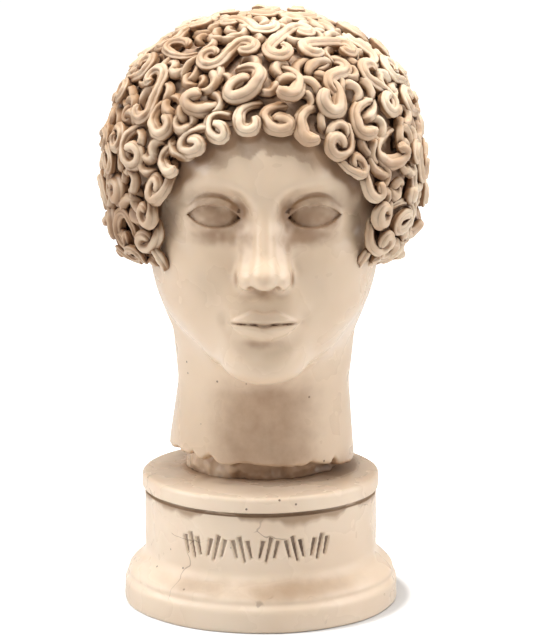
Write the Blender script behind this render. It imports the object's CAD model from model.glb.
# %% [markdown]
# # A curly head on a round plinth
# The real object is a small shelf ornament: a youth's head with short curls, cast in ivory resin on a
# round moulded plinth, washed with a brown stain and wiped so that the brown stays in the hollows.
# It could be sculpted by hand in Blender. Here it is written as rules instead: smooth forms that melt
# into each other for the face, paths with a swept outline for the hair, and a turned outline for the
# plinth. Rules can be read, changed and run again with the same result.

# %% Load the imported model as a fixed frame
import math

import bpy
import numpy as np
import openvdb
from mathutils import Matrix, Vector
from mathutils.kdtree import KDTree


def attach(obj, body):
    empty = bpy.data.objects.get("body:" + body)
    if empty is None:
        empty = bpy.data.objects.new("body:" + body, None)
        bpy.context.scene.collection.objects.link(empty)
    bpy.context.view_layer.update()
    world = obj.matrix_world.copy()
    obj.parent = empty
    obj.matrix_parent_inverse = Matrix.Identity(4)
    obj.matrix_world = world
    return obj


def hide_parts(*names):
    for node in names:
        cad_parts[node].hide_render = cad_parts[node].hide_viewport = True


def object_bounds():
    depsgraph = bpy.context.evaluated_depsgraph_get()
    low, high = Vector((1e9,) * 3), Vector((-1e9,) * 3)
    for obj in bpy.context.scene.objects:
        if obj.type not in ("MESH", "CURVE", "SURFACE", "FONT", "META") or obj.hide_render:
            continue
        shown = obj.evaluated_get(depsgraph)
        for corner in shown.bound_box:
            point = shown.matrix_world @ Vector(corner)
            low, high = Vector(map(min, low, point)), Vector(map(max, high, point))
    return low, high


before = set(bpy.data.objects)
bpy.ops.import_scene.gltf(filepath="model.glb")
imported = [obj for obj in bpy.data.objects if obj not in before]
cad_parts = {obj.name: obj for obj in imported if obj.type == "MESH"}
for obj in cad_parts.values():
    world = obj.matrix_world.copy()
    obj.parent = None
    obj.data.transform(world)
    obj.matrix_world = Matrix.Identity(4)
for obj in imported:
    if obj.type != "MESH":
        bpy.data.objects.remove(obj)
cad_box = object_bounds()
scene = bpy.context.scene


def rounded_box(box):
    return [tuple(round(c, 4) for c in corner) for corner in box]


print("CAD nodes:", sorted(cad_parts), "box:", rounded_box(cad_box))

# %% [markdown]
# ## Camera
# The ornament is seen from a little above, from about three quarters of a metre away, through a long
# lens, which keeps the plinth's ellipses flat. The camera could be aimed with a Track To constraint.
# Here it is placed by its distance and its pitch, which say how far the plinth's rings open.

# %% The camera
CAMERA_PLACE = (0.0, -0.742, 0.2221)
CAMERA_PITCH = 11.49  # degrees below the horizon
CAMERA_TURN = -0.11  # degrees, so that the ornament stands a little left of the middle
LENS = 168.8  # millimetres
NEAREST = 0.05  # metres, closer than anything in the scene
FURTHEST = 20

camera_data = bpy.data.cameras.new("camera")
camera_data.lens = LENS
camera_data.clip_start = NEAREST
camera_data.clip_end = FURTHEST
camera = bpy.data.objects.new("camera", camera_data)
camera.location = CAMERA_PLACE
camera.rotation_euler = (math.radians(90 - CAMERA_PITCH), 0, math.radians(CAMERA_TURN))
scene.collection.objects.link(camera)
scene.camera = camera
print("camera at", CAMERA_PLACE, "lens", LENS)

# %% [markdown]
# ## Light
# Small ornaments are often shown in a white tent: soft boxes shine through both sides and the top, and
# little light comes from the camera's own side, so the flanks are bright and the middle is calm. A pale
# world does the tent, and area lamps do the boxes. The box above isn't mirrored in the gloss, because
# it would burn a hot spot into the nose and the foot. A small box in front gives the fine sheen.

# %% A pale world, darker behind the camera
RANGE_INPUTS = ("From Min", "From Max", "To Min", "To Max")
WORLD_FRONT = 0.1
WORLD_BACK = 0.5
WORLD_FADE = (-0.7, 0.2)  # from where to where the world brightens, along the way the camera looks
WORLD_TINT = (1.0, 0.92, 0.82, 1)

world = bpy.data.worlds.new("white_tent")
world.use_nodes = True
tent = world.node_tree
heading = tent.nodes.new("ShaderNodeSeparateXYZ")
tent.links.new(tent.nodes.new("ShaderNodeTexCoord").outputs["Generated"], heading.inputs[0])
fade = tent.nodes.new("ShaderNodeMapRange")
for title, value in zip(RANGE_INPUTS, (*WORLD_FADE, WORLD_FRONT, WORLD_BACK)):
    fade.inputs[title].default_value = value
tent.links.new(heading.outputs["Y"], fade.inputs["Value"])
tent.links.new(fade.outputs["Result"], tent.nodes["Background"].inputs["Strength"])
tent.nodes["Background"].inputs["Color"].default_value = WORLD_TINT
scene.world = world
scene.view_settings.view_transform = "Standard"
print("the world's strength goes from", WORLD_FRONT, "to", WORLD_BACK)

# %% The soft boxes
FOCUS = Vector((0, 0, 0.085))  # what the boxes point at
SIDE_TINT = (0.98, 0.99, 1.03)


def add_soft_box(name, place, size, watts, tint, mirrored=True):
    lamp = bpy.data.lights.new(name, "AREA")
    lamp.shape = "SQUARE"
    lamp.size = size
    lamp.energy = watts
    lamp.color = tint
    made = bpy.data.objects.new(name, lamp)
    made.location = place
    made.rotation_euler = (FOCUS - Vector(place)).to_track_quat("-Z", "Y").to_euler()
    made.visible_glossy = mirrored
    scene.collection.objects.link(made)
    return made


add_soft_box("left_box", (-0.8, -0.12, 0.5), 0.7, 4.15, SIDE_TINT)
add_soft_box("right_box", (0.84, -0.09, 0.42), 0.7, 3.75, SIDE_TINT)
add_soft_box("top_box", (0.0, -0.06, 0.95), 0.5, 11.5, (1.0, 1.0, 1.0), mirrored=False)
add_soft_box("front_box", (-0.2, -0.85, 0.6), 0.14, 0.7, (1.0, 0.98, 0.95))

# %% [markdown]
# ## Floor
# The floor is one large plane, so no horizon shows. On a lit table a white board looks brighter than
# its paint, so the board glows a little, for the camera alone, and the glow lights nothing. A shadow
# catcher would hide the board instead. The glow fades away near the foot, so that the foot's own shade
# shows on the board.

# %% The board
FLOOR_HALF = 6.0  # metres

floor_mesh = bpy.data.meshes.new("floor")
floor_corners = [(-FLOOR_HALF, -FLOOR_HALF, 0), (FLOOR_HALF, -FLOOR_HALF, 0)]
floor_corners += [(FLOOR_HALF, FLOOR_HALF, 0), (-FLOOR_HALF, FLOOR_HALF, 0)]
floor_mesh.from_pydata(floor_corners, [], [(0, 1, 2, 3)])
floor = bpy.data.objects.new("floor", floor_mesh)
scene.collection.objects.link(floor)
print("floor", 2 * FLOOR_HALF, "m across")

# %% The board's paint and its glow
BOARD_COLOUR = (0.6, 0.595, 0.59, 1)
BOARD_ROUGHNESS = 0.7
BOARD_GLOW = 0.75
SHADE_MIDDLE = (0.002, 0.001, 0)  # metres: the glow fades around this point
SHADE_FROM = 0.0346  # no glow nearer than this
SHADE_TO = 0.0385  # full glow from here on

floor_paint = bpy.data.materials.new("white_board")
floor_paint.use_nodes = True
floor_nodes = floor_paint.node_tree.nodes
floor_links = floor_paint.node_tree.links
floor_shader = floor_nodes["Principled BSDF"]
floor_shader.inputs["Base Color"].default_value = BOARD_COLOUR
floor_shader.inputs["Roughness"].default_value = BOARD_ROUGHNESS
from_shade = floor_nodes.new("ShaderNodeVectorMath")
from_shade.operation = "DISTANCE"
floor_links.new(floor_nodes.new("ShaderNodeTexCoord").outputs["Object"], from_shade.inputs[0])
from_shade.inputs[1].default_value = SHADE_MIDDLE
glow = floor_nodes.new("ShaderNodeMapRange")
glow.interpolation_type = "SMOOTHSTEP"
for title, value in zip(RANGE_INPUTS, (SHADE_FROM, SHADE_TO, 0.0, BOARD_GLOW)):
    glow.inputs[title].default_value = value
floor_links.new(from_shade.outputs["Value"], glow.inputs["Value"])
seen_directly = floor_nodes.new("ShaderNodeLightPath").outputs["Is Camera Ray"]
lit_board = floor_nodes.new("ShaderNodeMath")
lit_board.operation = "MULTIPLY"
floor_links.new(seen_directly, lit_board.inputs[0])
floor_links.new(glow.outputs["Result"], lit_board.inputs[1])
floor_links.new(lit_board.outputs[0], floor_shader.inputs["Emission Strength"])
floor_shader.inputs["Emission Color"].default_value = (1, 1, 1, 1)
floor_mesh.materials.append(floor_paint)
print("the board glows from", SHADE_FROM, "m to", SHADE_TO, "m away from the foot's middle")

# %% [markdown]
# ## Forms that melt into each other
# A signed distance says how far a point is from a form: below zero inside, above zero outside. Two
# forms are joined by taking the smaller distance, and a blend of a few millimetres rounds the crease
# between them, as a modeller's thumb would. The head is built of such forms, in millimetres, in a
# frame of its own: x to the side, f forward, z up from the chin.

# %% The head's own frame
MM = 0.001
PLINTH_HEIGHT = 33.0
CHIN_ABOVE_PLINTH = 29.0
PLINTH_TOP = -CHIN_ABOVE_PLINTH  # in the head's own frame
HEAD_ASIDE = 0.8  # the head leans this far to one side of the plinth's middle


def eased(t):
    """From 0 to 1 with a soft start and end."""
    t = np.clip(t, 0, 1)
    return t * t * (3 - 2 * t)


def lean(z):
    up = np.clip(1 - z / PLINTH_TOP, 0, 1)
    return HEAD_ASIDE * up * up * (3 - 2 * up)


def placed(points):
    """From the head's frame in millimetres to the part's frame in metres."""
    x, f, z = np.moveaxis(np.asarray(points, float), -1, 0)
    return np.stack([x + lean(z), -f, z + PLINTH_HEIGHT + CHIN_ABOVE_PLINTH], -1) * MM


print("the chin's zero in the part, in metres:", placed((0, 0, 0)).round(4))

# %% The basic forms
TINY = 1e-9  # keeps a division by zero away


def ellipsoid(x, f, z, centre, radii):
    a, b, c = ((v - m) / r for v, m, r in zip((x, f, z), centre, radii))
    near = np.sqrt(a * a + b * b + c * c)
    steep = np.sqrt((a / radii[0]) ** 2 + (b / radii[1]) ** 2 + (c / radii[2]) ** 2) + TINY
    return near * (near - 1) / steep


def full_dome(x, f, z, centre, radii, power):
    """Like an ellipsoid, round in plan, with fuller shoulders."""
    a, b, c = ((v - m) / r for v, m, r in zip((x, f, z), centre, radii))
    level = np.sqrt(a * a + b * b) + TINY
    near = (level**power + np.abs(c) ** power) ** (1 / power)
    steep_level = (level / near) ** (power - 1) * np.sqrt((a / radii[0]) ** 2 + (b / radii[1]) ** 2)
    steep_rise = (np.abs(c) / near) ** (power - 1) / radii[2]
    return (near - 1) / np.sqrt((steep_level / level) ** 2 + steep_rise**2)


def turned_ellipsoid(x, f, z, centre, radii, turn):
    x, f, z = x - centre[0], f - centre[1], z - centre[2]
    c, s = math.cos(turn), math.sin(turn)
    return ellipsoid(x * c - f * s, x * s + f * c, z, (0, 0, 0), radii)


def capsule(x, f, z, start, end, start_radius, end_radius):
    d = np.subtract(end, start)
    x, f, z = x - start[0], f - start[1], z - start[2]
    t = np.clip((x * d[0] + f * d[1] + z * d[2]) / (d @ d), 0, 1)
    off = np.sqrt((x - t * d[0]) ** 2 + (f - t * d[1]) ** 2 + (z - t * d[2]) ** 2)
    return off - start_radius - (end_radius - start_radius) * t


print("a ball of 10 mm, 12 mm from its middle:", round(ellipsoid(12, 0, 0, (0, 0, 0), (10, 10, 10)), 3), "mm")


# %% Joins and cuts
def join(a, b, blend):
    h = np.maximum(blend - np.abs(a - b), 0) / blend
    return np.minimum(a, b) - h * h * blend / 4


def overlap(a, b, blend):
    return -join(-a, -b, blend)


def carve(a, b, blend):
    return overlap(a, -b, blend)


print("two forms, each 1 mm away, joined with a blend of 2 mm:", join(1.0, 1.0, 2.0), "mm")

# %% Smooth random lumps, the same on every run
WORD = 0xFFFFFFFF


def hashed(i, j, k):
    """A whole number that looks random, and is the same on every run, for each cell of space."""
    h = (i * 73856093 ^ j * 19349663 ^ k * 83492791) & WORD
    h = ((h ^ (h >> 13)) * 1274126177) & WORD
    return ((h ^ (h >> 16)) * 2246822519) & WORD


def lumps(x, f, z, size, salt=0):
    """Between -1 and 1, and about size millimetres across."""
    spot = np.stack(np.broadcast_arrays(x, f, z), -1) / size + 57.3 + salt * 13.7
    cell = np.floor(spot).astype(np.int64)
    t = spot - cell
    t = t * t * (3 - 2 * t)
    total = np.zeros(t.shape[:-1])
    for corner in np.ndindex(2, 2, 2):
        weight = np.prod(np.where(corner, t, 1 - t), axis=-1)
        total += weight * (hashed(*np.moveaxis(cell + corner, -1, 0)) / WORD * 2 - 1)
    return total


print("lumps of 4 mm along a line:", lumps(np.arange(0.0, 12.0, 2.0), 0, 0, 4.0).round(2))

# %% [markdown]
# ## The face
# The face is a calm, general one. The eyes are half way up the head and the nose is about a third of
# the face, as drawing books have it. The width of the cheeks and the jaw and the height of the chin
# don't come from a book: they were fitted to the cast's outline. These forms are joined with wide
# blends, and then the nose, mouth and eyes go on with narrow ones. The solid model has the same forms.

# %% Skull, cheeks, jaw, brow and neck
def masses(x, f, z):
    d = ellipsoid(x, f, z, (0, -1.5, 48), (29, 36.5, 34))
    d = join(d, ellipsoid(x, f, z, (0, 10, 51), (25.2, 25, 19)), 6)
    d = join(d, ellipsoid(x, f, z, (0, 7, 32), (27.4, 25, 25)), 7)
    d = join(d, ellipsoid(x, f, z, (0, 11, 16), (19, 20, 14.8)), 8)
    d = join(d, ellipsoid(x, f, z, (18.9, 4, 21.8), (5.4, 12, 8.6)), 10)
    d = join(d, capsule(x, f, z, (5.5, 23.5, 5.6), (15.6, 4, 14), 4.8, 5.4), 6)
    d = join(d, ellipsoid(x, f, z, (11.2, 17.5, 22.5), (9.8, 11, 12.4)), 7)
    d = join(d, turned_ellipsoid(x, f, z, (17, 19.5, 33), (8, 5.6, 5.6), 0.6), 6)
    d = join(d, ellipsoid(x, f, z, (12.4, 21.6, 28.5), (8.5, 9.4, 9)), 5)
    d = join(d, ellipsoid(x, f, z, (0, 26.5, 17), (10.5, 8, 9)), 6)
    d = join(d, ellipsoid(x, f, z, (0, 28.2, 5.4), (8, 6.6, 5.9)), 6)
    inner_brow = capsule(x, f, z, (2, 31.8, 46.8), (11.5, 29.8, 49.2), 3.2, 3.2)
    outer_brow = capsule(x, f, z, (11.5, 29.8, 49.2), (20.5, 22.6, 46), 3.2, 2.4)
    d = join(d, join(inner_brow, outer_brow, 2), 4)
    flare = 1 + 0.06 * np.clip((-8 - z) / 18, 0, 1) + 0.08 * np.clip((z + 6) / 12, 0, 1)
    neck = capsule(x / flare, f * 1.03 / flare, z, (0, -4.5, PLINTH_TOP - 13), (0, -7, 30), 23, 20.4)
    return join(d, neck, 7)


print("half way up the head, 28 mm aside:", round(float(masses(28.0, 7.0, 41.2)), 2), "mm")


# %% Nose
def with_nose(d, x, f, z):
    nose = capsule(x, f, z, (0, 32.4, 48), (0, 38.1, 28.8), 2.1, 2.5)
    nose = join(nose, capsule(x, f, z, (1.4, 29.8, 45), (2.6, 34, 28.4), 2.8, 3.5), 2.2)
    nose = join(nose, ellipsoid(x, f, z, (0, 38.38, 27.6), (3, 4, 3.1)), 3)
    nose = join(nose, turned_ellipsoid(x, f, z, (4.4, 34.8, 26.5), (2, 4, 2.6), -0.2), 2)
    d = join(d, nose, 2.4)
    d = carve(d, capsule(x, f, z, (7, 35.3, 28.8), (7.6, 33.7, 25), 0.4, 0.2), 1.4)
    return carve(d, turned_ellipsoid(x, f, z, (2.7, 37, 24.2), (1.2, 2.8, 1.6), 0.25), 0.5)


print("the nose's tip, 42 mm forward:", round(float(with_nose(9.0, 0.0, 42.0, 27.6)), 2), "mm")

# %% Mouth
MOUTH_HALF_WIDTH = 8.7
MOUTH_HEIGHT = 15.6
UPPER_RELIEF = 1.5  # how far the lips stand out of the face
LOWER_RELIEF = 1.7
SEAM_DEPTH = 0.35
THINNEST = 0.4  # a lip's least height, near the corners of the mouth


def lip_section(t, fall_from, fall):
    """A lip's swelling from the seam, at 0, over its outer edge, at 1, and down to nothing."""
    swell = 1 - 0.6 * np.clip(1 - t / 0.4, 0, 1) ** 2
    return swell * (1 - 0.4 * eased(t)) * (1 - eased((t - fall_from) / fall))


def lip_relief(x, z):
    """How far the lips stand out of the face, and how deep the line between them lies."""
    across = np.minimum(x / MOUTH_HALF_WIDTH, 1)
    dip = np.exp(-((x / 1.7) ** 2))
    peak = np.exp(-(((x - 2.6) / 1.5) ** 2))
    seam = MOUTH_HEIGHT - 0.5 * dip - 0.25 * across**2
    top = MOUTH_HEIGHT + 3.1 * (1 - across**1.7) - 0.6 * dip + 0.3 * peak
    bottom = MOUTH_HEIGHT - 4.2 * (1 - across**2.2) - 0.2
    upper = lip_section(np.maximum(z - seam, 0) / np.maximum(top - seam, THINNEST), 0.9, 0.35)
    lower = lip_section(np.maximum(seam - z, 0) / np.maximum(seam - bottom, THINNEST), 0.75, 0.4)
    full = np.sqrt(np.clip(1 - (x / (MOUTH_HALF_WIDTH + 0.3)) ** 2, 0, 1))
    line = np.exp(-(((z - seam) / 0.3) ** 2)) * np.exp(-((x / (MOUTH_HALF_WIDTH + 0.4)) ** 8))
    return full * np.where(z > seam, UPPER_RELIEF * upper, LOWER_RELIEF * lower) - SEAM_DEPTH * line


def with_mouth(d, x, f, z):
    d = carve(d, capsule(x, f, z, (0, 37.5, 23.6), (0, 37.7, 19.6), 1.1, 1.4), 1.6)
    d = carve(d, capsule(x, f, z, (0, 37.4, 9.4), (8, 34.4, 10.2), 2.6, 1.2), 4)
    d = carve(d, ellipsoid(x, f, z, (10, 33.4, 15.3), (1, 1.4, 1.6)), 2.4)
    return d - lip_relief(x, z) * (f > 22)


print("the lips' relief upwards from below the mouth:", lip_relief(0.0, np.arange(11.0, 20.0)).round(2))

# %% Eyes: a socket, a ball and two lids around an almond opening
EYE = (12, 23.5, 41.2)
EYE_RADIUS = 8.2
LID_RADIUS = 9.2
LID_HALF_WIDTH = 6.4
LID_MIDDLE = 41.0
LID_RISE = 3.0  # of the upper lid's edge over the middle
LID_DROP = 2.5
FOLD_ABOVE_LID = 2.4
FOLD_DEPTH = 0.45


def lid_edges(x):
    across = np.clip((x - EYE[0]) / LID_HALF_WIDTH, -1, 1)
    middle = LID_MIDDLE + 0.4 * across
    upper = middle + LID_RISE * (1 - np.abs(across) ** 2.2)
    return upper, middle - LID_DROP * (1 - np.abs(across) ** 2.4)


def past_lids(x, z):
    """Below zero within the almond opening between the lids."""
    upper, lower = lid_edges(x)
    corner = 0.7 * np.abs(x - EYE[0]) - 0.7 * LID_HALF_WIDTH
    return np.maximum(np.maximum(z - upper, lower - z), corner)


def with_eyes(d, x, f, z):
    d = carve(d, turned_ellipsoid(x, f, z, (12.9, 34.8, 42.4), (9.6, 5.1, 5.8), 0.38), 3.6)
    d = carve(d, ellipsoid(x, f, z, (7.4, 34.2, 42.8), (2.8, 4.6, 3.8)), 3)
    from_eye = np.sqrt((x - EYE[0]) ** 2 + (f - EYE[1]) ** 2 + (z - EYE[2]) ** 2)
    upper, _ = lid_edges(x)
    d = join(d, from_eye - LID_RADIUS, 1.8)
    fold = np.exp(-(((z - upper - FOLD_ABOVE_LID) / 0.55) ** 2) - ((x - EYE[0]) / 6.8) ** 4)
    d = d + FOLD_DEPTH * fold * (f > 20)
    d = carve(d, np.maximum(0.8 * past_lids(x, z), 24 - f), 0.3)
    return join(d, from_eye - EYE_RADIUS, 0.2)


print("the lids open", round(float(np.subtract(*lid_edges(EYE[0]))), 2), "mm in the middle")

# %% [markdown]
# ## The broken neck
# The cast copies a head that broke off at the neck: the edge is ragged, chipped and higher at one
# side, and behind it a rough core stands on the plinth. The break could be painted, but its shadow is
# what the eye reads, so it is cut: the neck is kept only above a wavy height with random lumps in it.

# %% The break and the rough core
NECK_MIDDLE = -5.0
BREAK_ABOVE_PLINTH = 3.9
STUB_HALF_WIDTH = 18.5
STUB_HALF_DEPTH = 16.5
# Chips out of the edge: where round the neck and how wide, in radians, and how high in millimetres
CHIPS = (
    (-0.62, 0.09, 1.7),
    (-0.86, 0.06, 1.3),
    (-1.2, 0.1, 1.0),
    (0.6, 0.06, 0.8),
    (0.93, 0.05, 1.2),
    (2.4, 0.12, 1.6),
)


def break_height(a):
    slant = 0.9 * np.cos(a) - 1.4 * np.sin(a)
    wavy = 0.4 * np.sin(3 * a + 1) + 0.3 * np.sin(7 * a + 2.4)
    return PLINTH_TOP + BREAK_ABOVE_PLINTH + slant + wavy


def skin(x, f, z):
    side = np.abs(x)
    d = masses(side, f, z)
    for with_feature in (with_nose, with_mouth, with_eyes):
        d = with_feature(d, side, f, z)
    d = carve(d, np.maximum(33 - z, f + 4), 1)  # the back of the skull, which the hair covers
    a = np.arctan2(x, f - NECK_MIDDLE)
    edge = break_height(a) + 0.6 * lumps(x, f, z, 4.5, 1) + 0.2 * lumps(x, f, z, 1.2, 2)
    for angle, width, depth in CHIPS:
        edge = edge + depth * np.exp(-(((a - angle) / width) ** 2))
    d = overlap(d, edge - z, 1.2)
    across = np.sqrt((x / STUB_HALF_WIDTH) ** 2 + ((f - NECK_MIDDLE) / STUB_HALF_DEPTH) ** 2)
    core = (across - 1) * STUB_HALF_DEPTH + 0.7 * lumps(x, f, z, 3.1, 3) + 0.3 * lumps(x, f, z, 1.3, 4)
    core = np.maximum(core, np.maximum(PLINTH_TOP - 0.3 - z, z - break_height(a) - 2.5))
    return join(d, core, 0.8)


print("the break lies", round(float(break_height(0.0)) - PLINTH_TOP, 2), "mm above the plinth in front")

# %% [markdown]
# ## From a form to a mesh
# The form is only a rule, so it is sampled on a fine grid and skinned with quads where it crosses
# zero. The Voxel Remesh modifier works that way too, but it needs a mesh to start from. OpenVDB, which
# Blender carries, does it from the numbers. Every corner is then moved onto the exact surface, which
# is what keeps lids and lips crisp on a grid of almost half a millimetre.

# %% The planes of a grid
BLOCK = 4  # voxels along one side of a block that is sampled or skipped


def axis_lines(stops, spacings):
    """Places of the grid's planes along one axis: a spacing for each stretch between two stops."""
    lines = [np.array([stops[0]])]
    for start, end, spacing in zip(stops, stops[1:], spacings):
        count = max(round((end - start) / spacing), 1)
        lines.append(np.linspace(start, end, count + 1)[1:])
    lines = np.concatenate(lines)
    spare = -len(lines) % BLOCK
    return np.concatenate([lines, lines[-1] + spacings[-1] * np.arange(1, spare + 1)])


def even_lines(low, high, spacing):
    return [axis_lines((a, b), (spacing,)) for a, b in zip(low, high)]


print("planes for 10 mm, half a millimetre apart:", len(axis_lines((0, 10), (0.5,))))


# %% Sampling a form near its surface only, skinning it and settling its points
def skinned(form, lines):
    """The surface of a form as points and quads, sampled where three sets of planes cross."""
    blocks = [len(along) // BLOCK for along in lines]
    first = np.indices(blocks).reshape(3, -1).T * BLOCK

    def place(index):
        return [np.interp(i, np.arange(len(along)), along) for i, along in zip(index.T, lines)]

    middle = form(*place(first + (BLOCK - 1) / 2))
    widest = max(np.diff(along).max() for along in lines)
    whole = np.where(middle < 0, -1.0, 1.0).astype(np.float32).reshape(blocks)
    field = whole.repeat(BLOCK, 0).repeat(BLOCK, 1).repeat(BLOCK, 2)
    near = first[np.abs(middle) < 2.2 * BLOCK * widest]
    voxels = (near[:, None] + np.indices((BLOCK,) * 3).reshape(3, -1).T).reshape(-1, 3)
    sampled = form(*place(voxels))
    field[tuple(voxels.T)] = np.clip(sampled / (widest * BLOCK), -1, 1)
    grid = openvdb.FloatGrid(1.0)
    grid.copyFromArray(field)
    points, quads = grid.convertToQuads(0.0)
    return np.stack(place(points.astype(float)), -1), quads.astype(int)


def settled(form, points, voxel, rounds=4, step=0.04):
    """The points moved onto the exact surface of the form."""
    for _ in range(rounds):
        d = form(*points.T)
        slope = [form(*(points + step * axis).T) - d for axis in np.eye(3)]
        slope = np.stack(slope, -1) / step
        move = -d[:, None] * slope / np.maximum((slope**2).sum(-1), 0.2)[:, None]
        longest = np.linalg.norm(move, axis=-1, keepdims=True)
        points = points + move * np.minimum(1, 0.5 * voxel / np.maximum(longest, TINY))
    return points


def ball(x, f, z):
    return ellipsoid(x, f, z, (0, 0, 0), (5, 5, 5))


ball_points, _ = skinned(ball, even_lines((-7, -7, -7), (7, 7, 7), 1.0))
ball_error = np.abs(np.linalg.norm(settled(ball, ball_points, 1.0), axis=-1) - 5).max()
print("a ball of 5 mm on a grid of 1 mm is true to", round(float(ball_error), 4), "mm")

# %% Making an object of points and faces, with its faces outwards
def outward(points, faces):
    a, b, c = (points[faces[:, k]] for k in range(3))
    volume = np.einsum("ij,ij->i", a, np.cross(b, c)).sum()
    if faces.shape[1] == 4:
        d = points[faces[:, 3]]
        volume += np.einsum("ij,ij->i", a, np.cross(c, d)).sum()
    return faces if volume > 0 else faces[:, ::-1]


def make_piece(name, points, faces, smooth=True):
    mesh = bpy.data.meshes.new(name)
    mesh.from_pydata(points.tolist(), [], outward(points, faces).tolist())
    mesh.polygons.foreach_set("use_smooth", np.full(len(mesh.polygons), smooth))
    mesh.update()
    made = bpy.data.objects.new(name, mesh)
    scene.collection.objects.link(made)
    print(name, len(points), "points", len(faces), "faces")
    return made


# %% The face and neck, with the finest planes about the eyes, nose and mouth
FINE = 0.43
COARSE = 0.8
SIDE_STOPS = (-32.6, -20, 20, 32.6)
DEPTH_STOPS = (-31, 12, 20, 45)
HEIGHT_STOPS = (-30.2, -23, 6, 53, 86)
skin_lines = [
    axis_lines(SIDE_STOPS, (COARSE, FINE, COARSE)),
    axis_lines(DEPTH_STOPS, (COARSE, 0.55, FINE)),
    axis_lines(HEIGHT_STOPS, (0.48, COARSE, FINE, COARSE)),
]
skin_points, skin_quads = skinned(skin, skin_lines)
skin_points = settled(skin, skin_points, FINE)
face = make_piece("face_and_neck", placed(skin_points), skin_quads)

# %% [markdown]
# ## The hair: where each curl stands
# Short curls cover the head: two rows of small ones along the hairline, larger ones over the dome.
# They could be placed by hand, one by one. Here they are packed by a rule: every new curl goes to the
# free spot nearest to the ones before it, as a carver works outwards from the hairline. The solid
# model uses the same rule, so each curl here stands on its own bump there.

# %% The close mass of hair under the curls
CAP_CENTRE = np.array((0, -1.5, 48.5))
CAP_HALF_WIDTH = 38.0
CAP_HALF_DEPTH = 38.5
CAP_RISE = 36.2
CAP_DROP = 44.0
CAP_FULLNESS = 2.25  # 2 would be an ellipsoid
WINDOW_HALF_WIDTH = 27.0  # of the opening for the face
WINDOW_HALF_HEIGHT = 26.5
WINDOW_MIDDLE = 35.5
NAPE_HEIGHT = 27.0
NAPE_SLOPE = 0.2
NAPE_ROUNDING = 9.0
MASS_DEPTH = 1.5  # the mass of hair lies so far under the dome
MASS_HOLLOW = (26, 26, 26)  # half-sizes of the space inside it, which nothing shows


def hair_dome(x, f, z):
    rise = np.where(z > CAP_CENTRE[2], CAP_RISE, CAP_DROP)
    dome = full_dome(x, f, z, CAP_CENTRE, (CAP_HALF_WIDTH, CAP_HALF_DEPTH, rise), CAP_FULLNESS)
    return overlap(dome, NAPE_HEIGHT + NAPE_SLOPE * np.minimum(f, 0) - z, NAPE_ROUNDING)


def window_share(x, z):
    """1 at the edge of the opening for the face, and less within."""
    return np.sqrt((x / WINDOW_HALF_WIDTH) ** 2 + ((z - WINDOW_MIDDLE) / WINDOW_HALF_HEIGHT) ** 2)


def hair_mass(x, f, z):
    cap = carve(hair_dome(x, f, z), np.maximum((window_share(x, z) - 1) * WINDOW_HALF_WIDTH, -f), 2)
    rough = 0.55 * lumps(x, f, z, 2.2, 5) + 0.3 * lumps(x, f, z, 1.1, 6)
    return np.maximum(cap + MASS_DEPTH + rough, -ellipsoid(x, f, z, CAP_CENTRE, MASS_HOLLOW))


print("the dome is", 2 * CAP_HALF_WIDTH, "mm wide and", 2 * CAP_HALF_DEPTH, "mm deep")

# %% Rays from the middle of the dome, and repeatable scatter
GOLDEN_ANGLE = 137.508  # degrees; turns by it never line up


def unit(v):
    return v / np.linalg.norm(v, axis=-1, keepdims=True)


def on_dome(directions, above=0.0):
    """Where rays from the dome's middle leave it, and so far above."""
    directions = np.asarray(directions, float)
    t = np.ones(directions.shape[:-1])
    for _ in range(60):
        depth = -hair_dome(*np.moveaxis(CAP_CENTRE + directions * t[..., None], -1, 0))
        t = np.where(depth < 0.004, t, t + depth * 0.8)
    return CAP_CENTRE + directions * (t + above)[..., None]


def scatter(n, salt):
    wave = np.sin(np.asarray(n, float) * 12.9898 + salt * 78.233) * 43758.5453
    return wave - np.floor(wave)


def lattice(count):
    """Even directions over the whole sphere."""
    i = np.arange(count)
    z = 1 - 2 * (i + 0.5) / count
    a = np.radians(i * GOLDEN_ANGLE)
    level = np.sqrt(1 - z * z)
    return np.stack([level * np.sin(a), level * np.cos(a), z], -1)


print("the dome's top in the head's frame:", on_dome(np.array([0.0, 0.0, 1.0])).round(2))

# %% Two rows along the hairline
FRINGE_CURLS = 16
SECOND_ROW_CURLS = 14
FRINGE_SPAN = 116.0  # degrees each way from the middle of the forehead
ROW_SHARES = (1.08, 1.37)  # how far outside the face's opening the rows lie


def hairline_row(count, share):
    a = np.radians(-FRINGE_SPAN + 2 * FRINGE_SPAN * (np.arange(count) + 0.5) / count)
    x = WINDOW_HALF_WIDTH * share * np.sin(a)
    z = WINDOW_MIDDLE + WINDOW_HALF_HEIGHT * share * np.cos(a) - CAP_CENTRE[2]
    rise = np.where(z > 0, CAP_RISE, CAP_DROP)
    spent = np.abs(x / CAP_HALF_WIDTH) ** CAP_FULLNESS + np.abs(z / rise) ** CAP_FULLNESS
    return unit(np.stack([x, CAP_HALF_DEPTH * np.maximum(1 - spent, 0.02) ** (1 / CAP_FULLNESS), z], -1))


print("rows of", FRINGE_CURLS, "and", SECOND_ROW_CURLS, "curls along the hairline")

# %% The rest of the dome, each curl at the free spot nearest to those before it
DOME_SPOTS = 1600
LEAST_ROOM = 3.2
FRINGE_SIZE = 4.4
FRONT = {"size": 5.1, "spacing": 7.9}
REAR = {"size": 5.8, "spacing": 9.3}


def room_on_hair(spots):
    """How far each spot lies outside the face's opening and above the nape."""
    x, f, z = spots.T
    from_window = np.where(f > 0, (window_share(x, z) - 1) * WINDOW_HALF_WIDTH, np.inf)
    return np.minimum(from_window, z - NAPE_HEIGHT - NAPE_SLOPE * np.minimum(f, 0))


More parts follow.
